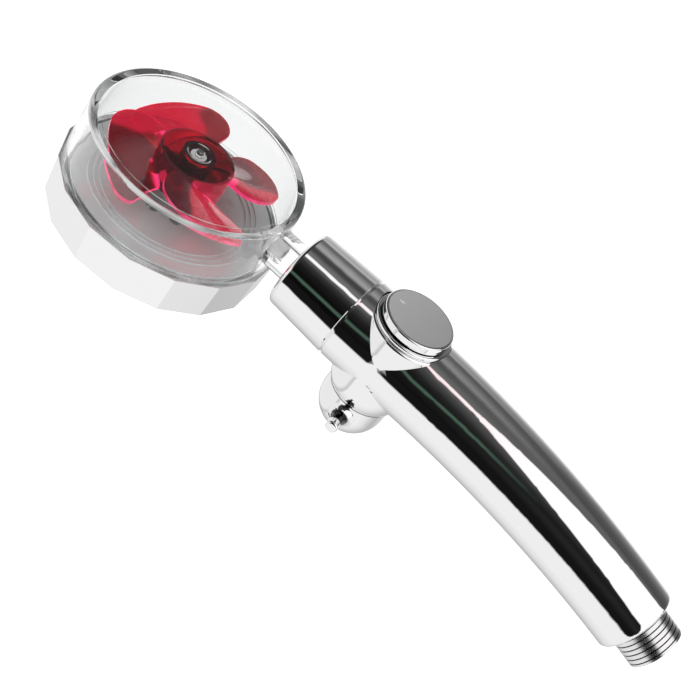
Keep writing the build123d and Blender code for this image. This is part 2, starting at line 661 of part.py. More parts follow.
# Grip: nose, tapering straight stretch, gentle bend, and the two valve bosses.
with BuildPart() as handle_shell:
    with BuildSketch(NECK_SECTION):
        Polygon(
            (COLLAR_INNER_X, 0),
            (COLLAR_INNER_X, NOSE_R),
            (COLLAR_REAR_X, NOSE_R),
            (COLLAR_REAR_X, COLLAR_REAR_R - SEAM_EDGE),
            (COLLAR_REAR_X + SEAM_EDGE, grip_radius(SEAM_EDGE)),
            (BEND_X, grip_radius(STRAIGHT_LENGTH)),
            (BEND_X, 0),
            align=None,
        )
    revolve(axis=NECK_AXIS)
    with BuildLine():
        bend_path(GRIP_LENGTH)
    for along in (STRAIGHT_LENGTH, GRIP_LENGTH):
        with BuildSketch(across_grip(along)):
            Circle(grip_radius(along))
    sweep(multisection=True)
    fillet(handle_shell.edges().sort_by(Axis.X)[-1], GRIP_END_ROUND)
    with BuildSketch(VALVE_SECTION):
        with BuildLine():
            TangentArc(
                (REAR_BOSS_R + REAR_BOSS_FLARE, REAR_BOSS_SIDE - REAR_BOSS_TOP),
                (REAR_BOSS_R, -REAR_BOSS_TOP),
                tangent=(0, -1),
            )
            Polyline(
                (REAR_BOSS_R, -REAR_BOSS_TOP),
                (0, -REAR_BOSS_TOP),
                (0, -REAR_BOSS_FOOT),
                (REAR_BOSS_R + REAR_BOSS_FLARE, -REAR_BOSS_FOOT),
                (REAR_BOSS_R + REAR_BOSS_FLARE, REAR_BOSS_SIDE - REAR_BOSS_TOP),
            )
        make_face()
    revolve(axis=VALVE_AXIS)
    with BuildSketch(VALVE_SECTION):
        with BuildLine():
            TangentArc(
                (FRONT_BOSS_R, FRONT_BOSS_TOP - FRONT_BOSS_ROUND),
                (FRONT_BOSS_R + FRONT_BOSS_FLARE, FRONT_BOSS_FOOT),
                tangent=(0, -1),
            )
            Polyline(
                (FRONT_BOSS_R + FRONT_BOSS_FLARE, FRONT_BOSS_FOOT),
                (0, FRONT_BOSS_FOOT),
                (0, FRONT_BOSS_TOP),
                (FRONT_BOSS_R - FRONT_BOSS_ROUND, FRONT_BOSS_TOP),
            )
            TangentArc(
                (FRONT_BOSS_R - FRONT_BOSS_ROUND, FRONT_BOSS_TOP),
                (FRONT_BOSS_R, FRONT_BOSS_TOP - FRONT_BOSS_ROUND),
                tangent=(1, 0),
            )
        make_face()
    revolve(axis=VALVE_AXIS)
    with BuildSketch(across_grip(GRIP_BULKHEAD)):
        Circle(grip_radius(GRIP_BULKHEAD) - GRIP_WALL)
    with BuildSketch(across_grip(STRAIGHT_LENGTH)):
        Circle(grip_radius(STRAIGHT_LENGTH) - GRIP_WALL)
    loft(mode=Mode.SUBTRACT)
    with BuildLine():
        bend_path(GRIP_LENGTH)
    for along in (STRAIGHT_LENGTH, GRIP_LENGTH):
        with BuildSketch(across_grip(along)):
            Circle(grip_radius(along) - GRIP_WALL)
    sweep(multisection=True, mode=Mode.SUBTRACT)
    with BuildSketch(at_valve(-REAR_BOSS_TOP)):
        Circle(REAR_PLUG_R)
    extrude(amount=REAR_BOSS_TOP - REAR_PLUG_FOOT)
    with BuildSketch(at_valve(FRONT_PLUG_FOOT)):
        Circle(FRONT_BOSS_R - FRONT_BOSS_ROUND)
    extrude(amount=FRONT_BOSS_TOP - FRONT_PLUG_FOOT)
    with BuildSketch(at_valve(FRONT_BOSS_TOP)):
        Circle(BEZEL_R + SPOT_FACE_GAP)
    extrude(amount=COLLAR_REAR_R, mode=Mode.SUBTRACT)
    with BuildSketch(at_valve(VALVE_BODY_BASE)):
        Circle(VALVE_BODY_R + PRESS_GAP)
    extrude(amount=FRONT_BOSS_TOP - VALVE_BODY_BASE, mode=Mode.SUBTRACT)
    with BuildSketch(at_valve(-REAR_BOSS_TOP)):
        Circle(SPINDLE_R + SPINDLE_HOLE_GAP)
    extrude(amount=REAR_BOSS_FLOOR, mode=Mode.SUBTRACT)
    with BuildSketch(across_neck(COLLAR_INNER_X)):
        Circle(BUSH_SOCKET_R + PRESS_GAP)
    extrude(amount=BULKHEAD_X - COLLAR_INNER_X, mode=Mode.SUBTRACT)
keep(handle_shell, "handle_shell")

# Water tube between the swivel and the valve, with its plug in the grip's nose.
with BuildPart() as front_tube:
    with BuildSketch(across_neck(BULKHEAD_X)):
        Circle(BUSH_SOCKET_R)
    extrude(amount=-TUBE_FLANGE)
    with BuildSketch(across_neck(BULKHEAD_X)):
        Circle(TUBE_R)
    extrude(amount=FRONT_TUBE_LENGTH)
    with BuildSketch(across_neck(BULKHEAD_X - TUBE_FLANGE)):
        Circle(TUBE_R - TUBE_WALL)
    extrude(amount=FRONT_TUBE_LENGTH + TUBE_FLANGE, mode=Mode.SUBTRACT)
keep(front_tube, "front_tube")

# Bent water tube from the valve to the hose end.
with BuildPart() as rear_tube:
    for radius, mode in ((TUBE_R, Mode.ADD), (TUBE_R - TUBE_WALL, Mode.SUBTRACT)):
        with BuildLine():
            Line(across_grip(REAR_TUBE_START).origin, across_grip(STRAIGHT_LENGTH).origin)
            bend_path(REAR_TUBE_END)
        with BuildSketch(across_grip(REAR_TUBE_START)):
            Circle(radius)
        sweep(mode=mode)
keep(rear_tube, "rear_tube")

# ======================= Hose inlet =======================

INLET_PLANE = across_grip(GRIP_LENGTH)
INLET_SECTION = Plane(origin=INLET_PLANE.origin, x_dir=INLET_PLANE.z_dir, z_dir=(0, -1, 0))
INLET_AXIS = Axis(INLET_PLANE.origin, INLET_PLANE.z_dir)
PLUG_R = grip_radius(GRIP_LENGTH) - GRIP_WALL - PRESS_GAP
THREAD_FLAT = THREAD_PITCH / 4
THREAD_START = (STUB_LENGTH - THREAD_TURNS * THREAD_PITCH) / 2

with BuildPart() as inlet_connector:
    with BuildSketch(INLET_SECTION):
        Polygon(
            (-PLUG_LENGTH, TUBE_R + THREAD_GAP),
            (-PLUG_LENGTH, PLUG_R),
            (0, PLUG_R),
            (0, THREAD_R),
            (STUB_LENGTH, THREAD_R),
            (STUB_LENGTH, INLET_BORE_R),
            (MOUTH_FLOOR, INLET_BORE_R),
            (MOUTH_FLOOR, TUBE_R - TUBE_WALL),
            (SOCKET_FLOOR, TUBE_R - TUBE_WALL),
            (SOCKET_FLOOR, TUBE_R + THREAD_GAP),
            align=None,
        )
        for turn in range(THREAD_TURNS + 1):
            with Locations((THREAD_START + turn * THREAD_PITCH, THREAD_R)):
                Polygon(
                    (THREAD_FLAT - THREAD_PITCH / 2 + THREAD_FLAT / 2, 0),
                    (-THREAD_FLAT / 2, -THREAD_DEPTH),
                    (THREAD_FLAT / 2, -THREAD_DEPTH),
                    (THREAD_PITCH / 2 - THREAD_FLAT * 3 / 2, 0),
                    (THREAD_PITCH / 2 - THREAD_FLAT * 3 / 2, THREAD_DEPTH),
                    (THREAD_FLAT - THREAD_PITCH / 2 + THREAD_FLAT / 2, THREAD_DEPTH),
                    align=None,
                    mode=Mode.SUBTRACT,
                )
    revolve(axis=INLET_AXIS)
keep(inlet_connector, "inlet_connector")

# Ribbed plastic insert in the mouth, and the strainer that it holds down.
INSERT_START = MOUTH_FLOOR + FILTER_THICKNESS
with BuildPart() as inlet_insert:
    with BuildSketch(INLET_PLANE.offset(INSERT_START)):
        Circle(INLET_BORE_R - PRESS_GAP)
        Circle(INLET_BORE_R - INSERT_WALL, mode=Mode.SUBTRACT)
    extrude(amount=STUB_LENGTH - INSERT_START)
    with BuildSketch(INLET_PLANE.offset(STUB_LENGTH)):
        with PolarLocations(0, INSERT_NOTCHES):
            Rectangle(INLET_BORE_R, INSERT_NOTCH_WIDTH, align=(Align.MIN, Align.CENTER))
    extrude(amount=-INSERT_NOTCH_DEPTH, mode=Mode.SUBTRACT)
keep(inlet_insert, "inlet_insert")

with BuildPart() as inlet_filter:
    with BuildSketch(INLET_PLANE.offset(MOUTH_FLOOR)):
        Circle(INLET_BORE_R - PRESS_GAP)
        for radius in FILTER_ROW_RADII:
            with PolarLocations(radius, round(2 * pi * radius / FILTER_HOLE_PITCH)):
                Circle(FILTER_HOLE_R, mode=Mode.SUBTRACT)
    extrude(amount=FILTER_THICKNESS)
keep(inlet_filter, "inlet_filter")

# ======================= Stop valve =======================

# Valve body across the grip: spindle bore, two ports and the tubes' sockets.
with BuildPart() as valve_body:
    with BuildSketch(at_valve(VALVE_BODY_BASE)):
        Circle(VALVE_BODY_R)
        Circle(SPINDLE_BORE_R, mode=Mode.SUBTRACT)
    extrude(amount=FRONT_BOSS_TOP - VALVE_BODY_BASE)
    with BuildSketch(at_valve(SPINDLE_TOP)):
        Circle(DIAL_HUB_R + SPINDLE_HOLE_GAP)
    extrude(amount=FRONT_BOSS_TOP - SPINDLE_TOP, mode=Mode.SUBTRACT)
    with BuildSketch(across_neck(VALVE_X - VALVE_BODY_R)):
        Circle(PORT_R)
    extrude(amount=2 * VALVE_BODY_R, mode=Mode.SUBTRACT)
    for side in (-1, 1):
        with BuildSketch(across_neck(VALVE_X + side * (VALVE_BODY_R - TUBE_SEAT))):
            Circle(TUBE_R + PRESS_GAP)
        extrude(amount=side * TUBE_SEAT, mode=Mode.SUBTRACT)
keep(valve_body, "valve_body")

# Screwed ring round the dial, which clamps the valve body.
with BuildPart() as dial_bezel:
    with BuildSketch(at_valve(FRONT_BOSS_TOP)):
        Circle(BEZEL_R)
        Circle(DIAL_HUB_R + BEZEL_HOLE_GAP, mode=Mode.SUBTRACT)
    extrude(amount=BEZEL_HEIGHT)
    fillet(dial_bezel.edges().filter_by(GeomType.CIRCLE).sort_by(SortBy.RADIUS)[-2:], BEZEL_ROUND)
keep(dial_bezel, "dial_bezel")

# Spindle with its cross port, two O-ring grooves and square ends.
with BuildPart() as valve_spindle:
    with BuildSketch(at_valve(CAP_RIM)):
        Circle(SPINDLE_R)
    extrude(amount=SPINDLE_TOP - CAP_RIM)
    with BuildSketch(at_valve(SPINDLE_END)):
        Rectangle(SPINDLE_FLAT, SPINDLE_FLAT, rotation=PEG_ANGLE)
    extrude(amount=SQUARE_TOP - SPINDLE_END)
    with BuildSketch(VALVE_SECTION):
        for height in (-SPINDLE_RING_OFFSET, SPINDLE_RING_OFFSET):
            with Locations((SPINDLE_RING_R - 2 * ORING_SECTION_R, height)):
                Rectangle(SPINDLE_R, ORING_GROOVE, align=(Align.MIN, Align.CENTER))
    revolve(axis=VALVE_AXIS, mode=Mode.SUBTRACT)
    with BuildSketch(across_neck(VALVE_X - SPINDLE_R)):
        Circle(PORT_R)
    extrude(amount=2 * SPINDLE_R, mode=Mode.SUBTRACT)
    with BuildSketch(at_valve(SQUARE_TOP)):
        Circle(SCREW_R + PRESS_GAP)
    extrude(amount=DIAL_WEB - SCREW_LENGTH - AXIAL_PLAY, mode=Mode.SUBTRACT)
    with BuildSketch(PEG_PLANE.offset(SPINDLE_FLAT / 2)):
        Circle(PEG_SHANK_R + PRESS_GAP)
    extrude(amount=-PEG_SHANK_SEAT, mode=Mode.SUBTRACT)
keep(valve_spindle, "valve_spindle")

with BuildPart() as spindle_o_rings:
    with BuildSketch(VALVE_SECTION):
        for height in (-SPINDLE_RING_OFFSET, SPINDLE_RING_OFFSET):
            with Locations((SPINDLE_RING_R - ORING_SECTION_R, height)):
                Circle(ORING_SECTION_R)
    revolve(axis=VALVE_AXIS)
keep(spindle_o_rings, "spindle_o_rings")

# Round dial with a hub that grips the spindle's square.
with BuildPart() as dial:
    with BuildSketch(at_valve(DIAL_BASE)):
        Circle(DIAL_R)
    extrude(amount=DIAL_HEIGHT)
    fillet(dial.edges().group_by(Axis.Z)[-1], DIAL_ROUND)
    with BuildSketch(at_valve(HUB_BASE)):
        Circle(DIAL_HUB_R)
    extrude(amount=DIAL_BASE - HUB_BASE)
    with BuildSketch(at_valve(DIAL_SEAT)):
        Circle(DIAL_PLATE_R + PRESS_GAP)
    extrude(amount=DIAL_PLATE_THICKNESS, mode=Mode.SUBTRACT)
    with BuildSketch(at_valve(SCREW_SEAT)):
        Circle(SCREW_HEAD_R + THREAD_GAP)
    extrude(amount=SCREW_HEAD_HEIGHT, mode=Mode.SUBTRACT)
    with BuildSketch(at_valve(SQUARE_TOP)):
        Circle(SCREW_R + THREAD_GAP)
    extrude(amount=DIAL_WEB, mode=Mode.SUBTRACT)
    with BuildSketch(at_valve(HUB_BASE)):
        Rectangle(SPINDLE_FLAT + 2 * PRESS_GAP, SPINDLE_FLAT + 2 * PRESS_GAP, rotation=PEG_ANGLE)
    extrude(amount=SQUARE_TOP - HUB_BASE, mode=Mode.SUBTRACT)
keep(dial, "dial")

# Satin disc let into the dial, with a sunk pointer on the head's side.
with BuildPart() as dial_plate:
    with BuildSketch(at_valve(DIAL_SEAT)):
        Circle(DIAL_PLATE_R)
    extrude(amount=DIAL_PLATE_THICKNESS)
    with BuildSketch(at_valve(DIAL_TOP)):
        Polygon(
            (-POINTER_R, 0),
            (POINTER_LENGTH - POINTER_R, -POINTER_WIDTH / 2),
            (POINTER_LENGTH - POINTER_R, POINTER_WIDTH / 2),
            align=None,
        )
    extrude(amount=-POINTER_DEPTH, mode=Mode.SUBTRACT)
keep(dial_plate, "dial_plate")

# Socket-head screw under the plate.
with BuildPart() as dial_screw:
    with BuildSketch(at_valve(SCREW_SEAT)):
        Circle(SCREW_HEAD_R)
    extrude(amount=SCREW_HEAD_HEIGHT)
    with BuildSketch(at_valve(SCREW_SEAT)):
        Circle(SCREW_R)
    extrude(amount=-SCREW_LENGTH)
    with BuildSketch(at_valve(DIAL_SEAT)):
        RegularPolygon(HEX_KEY / 2, 6, major_radius=False)
    extrude(amount=-SCREW_HEAD_HEIGHT / 2, mode=Mode.SUBTRACT)
keep(dial_screw, "dial_screw")

# Domed rear cap, hollow, with a hub for the spindle and the peg's seat.
with BuildPart() as rear_cap:
    with Locations(PEG_PLANE.origin):
        Sphere(CAP_R)
    split(bisect_by=at_valve(PEG_HEIGHT), keep=Keep.BOTTOM)
    with BuildSketch(at_valve(PEG_HEIGHT)):
        Circle(CAP_R)
    extrude(amount=CAP_SIDE)
    with BuildSketch(at_valve(CAP_RIM)):
        Circle(CAP_R - CAP_WALL)
        Circle(CAP_HUB_R, mode=Mode.SUBTRACT)
    extrude(amount=-CAP_CAVITY, mode=Mode.SUBTRACT)
    with BuildSketch(at_valve(CAP_RIM)):
        Rectangle(SPINDLE_FLAT + 2 * PRESS_GAP, SPINDLE_FLAT + 2 * PRESS_GAP, rotation=PEG_ANGLE)
    extrude(amount=-CAP_SQUARE - AXIAL_PLAY, mode=Mode.SUBTRACT)
    with BuildSketch(PEG_PLANE):
        Circle(PEG_SHANK_R + PRESS_GAP)
    extrude(amount=CAP_R, mode=Mode.SUBTRACT)
    with BuildSketch(PEG_PLANE.offset(PEG_START)):
        Circle(PEG_ROOT_R + PRESS_GAP)
    extrude(amount=CAP_R, mode=Mode.SUBTRACT)
keep(rear_cap, "rear_cap")

# Thumb peg: flared root, round end, and a shank that pins the cap to the spindle.
with BuildPart() as thumb_peg:
    with BuildSketch(PEG_SECTION):
        with BuildLine():
            shank_end = SPINDLE_FLAT / 2 - PEG_SHANK_SEAT
            root_end = PEG_START + PEG_ROOT_LENGTH
            Polyline(
                (PEG_START, PEG_ROOT_R),
                (PEG_START, PEG_SHANK_R),
                (shank_end, PEG_SHANK_R),
                (shank_end, 0),
                (PEG_REACH, 0),
                (PEG_REACH, PEG_R),
                (root_end, PEG_R),
            )
            TangentArc((root_end, PEG_R), (PEG_START, PEG_ROOT_R), tangent=(-1, 0))
        make_face()
    revolve(axis=PEG_AXIS)
    fillet(thumb_peg.edges().group_by(PEG_AXIS)[-1], PEG_END_ROUND)
keep(thumb_peg, "thumb_peg")
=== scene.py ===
# %% [markdown]
# # A hand shower with a fan behind clear plastic
# The solids come packed from CAD, in metres, in one fixed frame: the origin is the centre
# of the spray face, +Z leaves the head's clear back, and +X runs along the neck to the
# hose end. Blender gives them their skins, finishes and light. Nothing is moved here,
# because the swivel, the fan and the valve have to turn about the axes that CAD set.

# %% Load the frame
import bpy
import json
from math import cos, hypot, pi, radians, sin
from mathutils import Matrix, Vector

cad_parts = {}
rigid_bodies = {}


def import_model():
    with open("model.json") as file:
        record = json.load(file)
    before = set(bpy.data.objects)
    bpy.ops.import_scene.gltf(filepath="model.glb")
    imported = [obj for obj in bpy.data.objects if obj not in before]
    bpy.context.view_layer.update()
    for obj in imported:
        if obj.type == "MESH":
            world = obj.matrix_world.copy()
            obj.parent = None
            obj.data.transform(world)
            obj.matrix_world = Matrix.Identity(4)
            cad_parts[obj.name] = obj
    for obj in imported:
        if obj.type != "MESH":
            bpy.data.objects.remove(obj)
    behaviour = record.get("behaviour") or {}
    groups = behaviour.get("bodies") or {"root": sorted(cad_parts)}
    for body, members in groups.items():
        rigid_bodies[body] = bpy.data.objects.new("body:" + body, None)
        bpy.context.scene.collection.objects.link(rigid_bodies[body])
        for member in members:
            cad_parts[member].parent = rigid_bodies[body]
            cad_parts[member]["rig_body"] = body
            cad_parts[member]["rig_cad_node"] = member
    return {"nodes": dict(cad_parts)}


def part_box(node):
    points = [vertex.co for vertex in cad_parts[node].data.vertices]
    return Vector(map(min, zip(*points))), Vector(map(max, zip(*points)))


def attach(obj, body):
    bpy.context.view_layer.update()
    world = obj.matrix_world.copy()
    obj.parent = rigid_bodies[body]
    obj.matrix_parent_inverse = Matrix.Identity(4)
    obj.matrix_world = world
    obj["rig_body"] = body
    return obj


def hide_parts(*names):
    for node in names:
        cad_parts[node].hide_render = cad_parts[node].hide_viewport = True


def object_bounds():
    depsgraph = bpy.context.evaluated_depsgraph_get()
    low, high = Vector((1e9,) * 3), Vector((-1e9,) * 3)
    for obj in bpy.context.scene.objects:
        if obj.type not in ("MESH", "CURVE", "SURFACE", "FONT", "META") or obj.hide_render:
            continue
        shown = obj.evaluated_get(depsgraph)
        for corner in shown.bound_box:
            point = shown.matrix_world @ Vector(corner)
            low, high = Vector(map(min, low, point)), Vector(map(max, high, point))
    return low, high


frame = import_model()
cad_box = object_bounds()
nodes = frame["nodes"]
print("CAD nodes:", len(nodes), "box:", [round(c, 4) for c in cad_box[1]])

# %% [markdown]
# ## Where things are
# A finish often has to be centred on something: the brushing on the dial runs in circles
# about the valve's axis, and the spray plate's about the head's. Those places are read
# from the CAD boxes, so they follow the model if it changes.

# %% Axes read from the CAD boxes
def middle(node):
    """Centre of a CAD node's box."""
    low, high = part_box(node)
    return (low + high) / 2


VALVE = middle("dial_plate")
HEAD = middle("spray_plate")
print("valve axis at x =", round(VALVE.x, 4), "and head axis at x =", round(HEAD.x, 4))

# %% [markdown]
# ## Camera
# A long lens from a little under half a metre, looking down on the back of the head. The
# 65 mm lens keeps the round head from stretching towards the picture's edge.

# %% Camera
camera_data = bpy.data.cameras.new("camera")
camera_data.lens = 65.0
camera_data.sensor_width = 36.0
camera_data.clip_start = 0.01
camera_data.clip_end = 20.0
camera = bpy.data.objects.new("camera", camera_data)
camera.location = (0.1255, -0.3462, 0.2899)
camera.rotation_euler = (radians(45.08), radians(-29.76), radians(33.19))
bpy.context.scene.collection.objects.link(camera)
bpy.context.scene.camera = camera
print("camera", round((camera.location - VALVE).length, 2), "m from the dial")

# %% [markdown]
# ## A small kit for node trees
# Every finish below is a node tree around one Principled shader, and the room is a node
# tree too. A few short helpers keep them readable: one adds a node with its settings, one
# feeds a socket with whatever it is given, and two make the nodes used most, a sum and a
# change of range. They take a material or the world, because both have a node tree.

# %% Node helpers
def add_node(owner, kind, **settings):
    """A node of that kind; settings are its properties, or its sockets' values."""
    node = owner.node_tree.nodes.new("ShaderNode" + kind)
    for key, value in settings.items():
        if hasattr(node, key):
            setattr(node, key, value)
        else:
            node.inputs[key.replace("_", " ")].default_value = value
    return node


def feed(owner, value, socket):
    """Wires an output to a socket, or sets the socket to a number or a colour."""
    if isinstance(value, bpy.types.NodeSocket):
        owner.node_tree.links.new(value, socket)
    else:
        socket.default_value = value


def calculate(owner, operation, *values):
    """A Math node's output; each value is a number or another output."""
    node = add_node(owner, "Math", operation=operation)
    for socket, value in zip(node.inputs, values):
        feed(owner, value, socket)
    return node.outputs[0]


def rescale(owner, value, start, end, low=0.0, high=1.0):
    """A value's share of the way from start to end, as a number between low and high."""
    node = add_node(owner, "MapRange", From_Min=start, From_Max=end, To_Min=low, To_Max=high)
    feed(owner, value, node.inputs["Value"])
    return node.outputs["Result"]


print("node helpers: add_node, feed, calculate, rescale")

# %% [markdown]
# ## Materials and where their patterns sit
# A material starts as a Principled shader with some sockets set. A pattern has to stay on
# its piece when the piece turns, so it reads Object coordinates, counted from a centre
# that suits it. Many patterns are round, and then all they need is the distance from an
# upright axis, which is the length of the place with its height taken away.

# %% Material helpers
def new_material(name, **settings):
    """A material with one Principled shader, its sockets set by name."""
    material = bpy.data.materials.new(name)
    material.use_nodes = True
    for socket, value in settings.items():
        shade(material, socket.replace("_", " "), value)
    return material


def shade(material, socket, value):
    """Feeds one socket of the material's Principled shader."""
    feed(material, value, material.node_tree.nodes["Principled BSDF"].inputs[socket])


def pattern_space(material, centre=(0, 0, 0)):
    """Object coordinates, counted from a chosen centre."""
    coordinates = add_node(material, "TexCoord")
    mapping = add_node(material, "Mapping", vector_type="POINT")
    mapping.inputs["Location"].default_value = [-c for c in centre]
    feed(material, coordinates.outputs["Object"], mapping.inputs["Vector"])
    return mapping.outputs["Vector"]


def part_of(material, space, axis):
    """One coordinate of a place or a direction."""
    split = add_node(material, "SeparateXYZ")
    feed(material, space, split.inputs[0])
    return split.outputs[axis]


def vector_length(material, operation, space, other):
    """Length of a place once it is multiplied or crossed with another vector."""
    changed = add_node(material, "VectorMath", operation=operation)
    changed.inputs[1].default_value = other
    feed(material, space, changed.inputs[0])
    measured = add_node(material, "VectorMath", operation="LENGTH")
    feed(material, changed.outputs[0], measured.inputs[0])
    return measured.outputs["Value"]


def reach(material, space):
    """Distance from the upright axis through a pattern's centre."""
    return vector_length(material, "MULTIPLY", space, (1, 1, 0))


print("material helpers: new_material, shade, pattern_space, part_of, reach")

# %% [markdown]
# ## Unevenness
# Nearly every moulded or plated surface has a faint unevenness in its gloss and its
# level. One noise gives both: it wanders the roughness between two values, and lifts the
# surface by up to a hundredth of a millimetre.

# %% Unevenness
# A noise's value mostly lies between these two.
NOISE_SPAN = (0.3, 0.7)


def noise(material, space, scale, detail):
    """A noise texture's value over a pattern space."""
    texture = add_node(material, "TexNoise", Scale=scale, Detail=detail)
    feed(material, space, texture.inputs["Vector"])
    return texture.outputs["Fac"]


def emboss(material, height, strength, depth):
    """A bump that deep in metres."""
    bump = add_node(material, "Bump", Strength=strength, Distance=depth)
    feed(material, height, bump.inputs["Height"])
    shade(material, "Normal", bump.outputs["Normal"])


def uneven(material, scale, gloss, depth):
    """Roughness that wanders between two values, and a bump if it has a depth."""
    wander = noise(material, pattern_space(material), scale, 4.0)
    shade(material, "Roughness", rescale(material, wander, *NOISE_SPAN, *gloss))
    if depth:
        emboss(material, wander, 1.0, depth)


print("unevenness helpers: noise, emboss, uneven")

# %% [markdown]
# ## Chrome
# The grip, the collar, the ring and the valve's knobs are plastic with a plated skin, so
# they mirror the room almost perfectly. Real plating is never quite flat: the gloss
# wanders a little and the moulding under it undulates by a few thousandths of a
# millimetre, which keeps long reflections from looking ruled.

# %% Chrome finishes
CHROME_WAVE = 55.0


def chrome(name, tint, gloss, depth):
    """Bright plating over a moulding."""
    material = new_material(name, Base_Color=(*tint, 1), Metallic=1.0)
    uneven(material, CHROME_WAVE, gloss, depth)
    return material


grip_chrome = chrome("grip_chrome", (0.90, 0.90, 0.905), (0.015, 0.035), 0.000002)
trim_chrome = chrome("trim_chrome", (0.90, 0.90, 0.91), (0.015, 0.04), 0.000001)
print("chromes:", grip_chrome.name, trim_chrome.name)

# %% [markdown]
# ## The thread's grooves
# The grooves of the hose thread are darker than the crests: painted shade down in the
# grooves. The cross product of a point's place with the thread's direction is as long as
# its distance from the thread's axis.

# %% Thread grooves
THREAD_AT = (0.2236, 0, 0.0171)
THREAD_ALONG = (0.974, 0, -0.2267)
THREAD_ROOT = 0.0093
THREAD_CREST = 0.0103
# Painted shade: the base colour at the thread's root, and at its crest.
GROOVE_SHADE_TONES = (0.12, 0.84)

connector_chrome = chrome("connector_chrome", (0.74, 0.73, 0.72), (0.2, 0.3), 0.000002)
thread_space = pattern_space(connector_chrome, THREAD_AT)
thread_reach = vector_length(connector_chrome, "CROSS_PRODUCT", thread_space, THREAD_ALONG)
# The grooves' painted shade, darker nearer the thread's axis.
groove_shade = rescale(connector_chrome, thread_reach, THREAD_ROOT, THREAD_CREST, *GROOVE_SHADE_TONES)
shade(connector_chrome, "Base Color", groove_shade)
print("thread grooves darken below", THREAD_CREST)

# %% [markdown]
# ## The ring round the spray face
# Plating doesn't reach the inside of a moulded ring, where the clear drum's foot sits, so
# the bore keeps the pale plastic. It can't be seen directly, but the drum's thick wall
# pipes its tone up to the rim. The bore is picked out by its distance from the head's
# axis, and the ring's top edge by its height, and that mask switches off the metal.

# %% Ring finish
RING_BORE = 0.0402
RING_LIP = 0.003
EDGE_DEPTH = 0.00004

ring_chrome = chrome("ring_chrome", (0.93, 0.93, 0.93), (0.03, 0.06), 0.000002)
ring_low, ring_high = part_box("face_ring")
ring_space = pattern_space(ring_chrome, HEAD)
ring_height = part_of(ring_chrome, ring_space, "Z")
in_bore = calculate(ring_chrome, "LESS_THAN", reach(ring_chrome, ring_space), RING_BORE)
lip_top = ring_low.z + RING_LIP - HEAD.z
above_lip = calculate(ring_chrome, "GREATER_THAN", ring_height, lip_top)
inner_wall = calculate(ring_chrome, "MULTIPLY", in_bore, above_lip)
edge_bottom = ring_high.z - EDGE_DEPTH - HEAD.z
on_edge = calculate(ring_chrome, "GREATER_THAN", ring_height, edge_bottom)
bare = calculate(ring_chrome, "MAXIMUM", inner_wall, on_edge)
shade(ring_chrome, "Metallic", calculate(ring_chrome, "SUBTRACT", 1.0, bare))
print("ring is bare within", RING_BORE, "and above z =", round(ring_low.z + RING_LIP, 4))

# %% [markdown]
# ## The peg's waist
# The thumb peg is chromed too, but its narrow waist stands in its own shade under the
# rear cap. The plating is darkened in a band round the waist, by the distance from the
# valve's axis, and the round end stays bright.

# %% Peg
# The ramp runs from the valve's axis out to this distance.
PEG_SPAN = 0.025
WAIST = (0.0136, 0.0172)
WAIST_BLUR = 0.0005
WAIST_TONE = (0.03, 0.035, 0.03, 1)
PEG_TONE = (0.9, 0.9, 0.9, 1)

peg_chrome = chrome("peg_chrome", (0.90, 0.90, 0.91), (0.02, 0.04), 0.000001)
peg_reach = reach(peg_chrome, pattern_space(peg_chrome, VALVE))
peg_tone = add_node(peg_chrome, "ValToRGB")
peg_tone.color_ramp.interpolation = "EASE"
bright_before, bright_after = peg_tone.color_ramp.elements
bright_before.color = PEG_TONE
bright_after.color = PEG_TONE
bright_before.position = (WAIST[0] - WAIST_BLUR) / PEG_SPAN
bright_after.position = (WAIST[1] + WAIST_BLUR) / PEG_SPAN
for end in WAIST:
    peg_tone.color_ramp.elements.new(end / PEG_SPAN).color = WAIST_TONE
feed(peg_chrome, rescale(peg_chrome, peg_reach, 0.0, PEG_SPAN), peg_tone.inputs["Fac"])
shade(peg_chrome, "Base Color", peg_tone.outputs["Color"])
print("peg waist from", WAIST[0], "to", WAIST[1])

# %% [markdown]
# ## Turned metal
# The disc in the dial and the spray plate were finished on a lathe: fine circles about
# the axis, which smear reflections into a soft sheen. A wave texture in rings gives the
# circles, and its distortion breaks them up a little, so that they don't look printed.

# %% Satin finishes
CIRCLE_WOBBLE = 0.6
CIRCLE_STRENGTH = 0.6
DIAL_METAL = 0.5


def turned(name, tint, centre, rings, gloss, depth, metal=1.0):
    """Metal with fine circles about an axis."""
    material = new_material(name, Base_Color=(*tint, 1), Metallic=metal)
    wave = add_node(material, "TexWave", Scale=rings, Distortion=CIRCLE_WOBBLE)
    wave.wave_type = "RINGS"
    wave.rings_direction = "Z"
    feed(material, pattern_space(material, centre), wave.inputs["Vector"])
    shade(material, "Roughness", rescale(material, wave.outputs["Fac"], 0.0, 1.0, *gloss))
    emboss(material, wave.outputs["Fac"], CIRCLE_STRENGTH, depth)
    return material


plate_steel = turned("plate_steel", (0.66, 0.66, 0.67), HEAD, 500.0, (0.22, 0.34), 0.000005)
dial_satin = turned(
    "dial_satin", (0.6, 0.6, 0.6), VALVE, 900.0, (0.36, 0.46), 0.000003, DIAL_METAL
)
print("turned finishes:", plate_steel.name, dial_satin.name)

# %% [markdown]
# ## Pointer and painted sheen of the dial
# The disc's sheen is painted: its colour is a little brighter on the side towards the head.
# The sunk pointer is filled with white paint. Everything deeper than a tenth of a millimetre
# under the disc's face is taken for paint, which is white and has no metal in it. A very
# weak glow stands for the light that a satin disc scatters and a mirror would not.

# %% Dial paint
DIAL_SPAN = 0.0115
# Painted sheen: the disc's colour on the side towards the head, and on the far side.
DIAL_PAINTED_SHEEN = (0.95, 0.74)
DIAL_GLOW = 0.06
PAINT_DEPTH = 0.0001

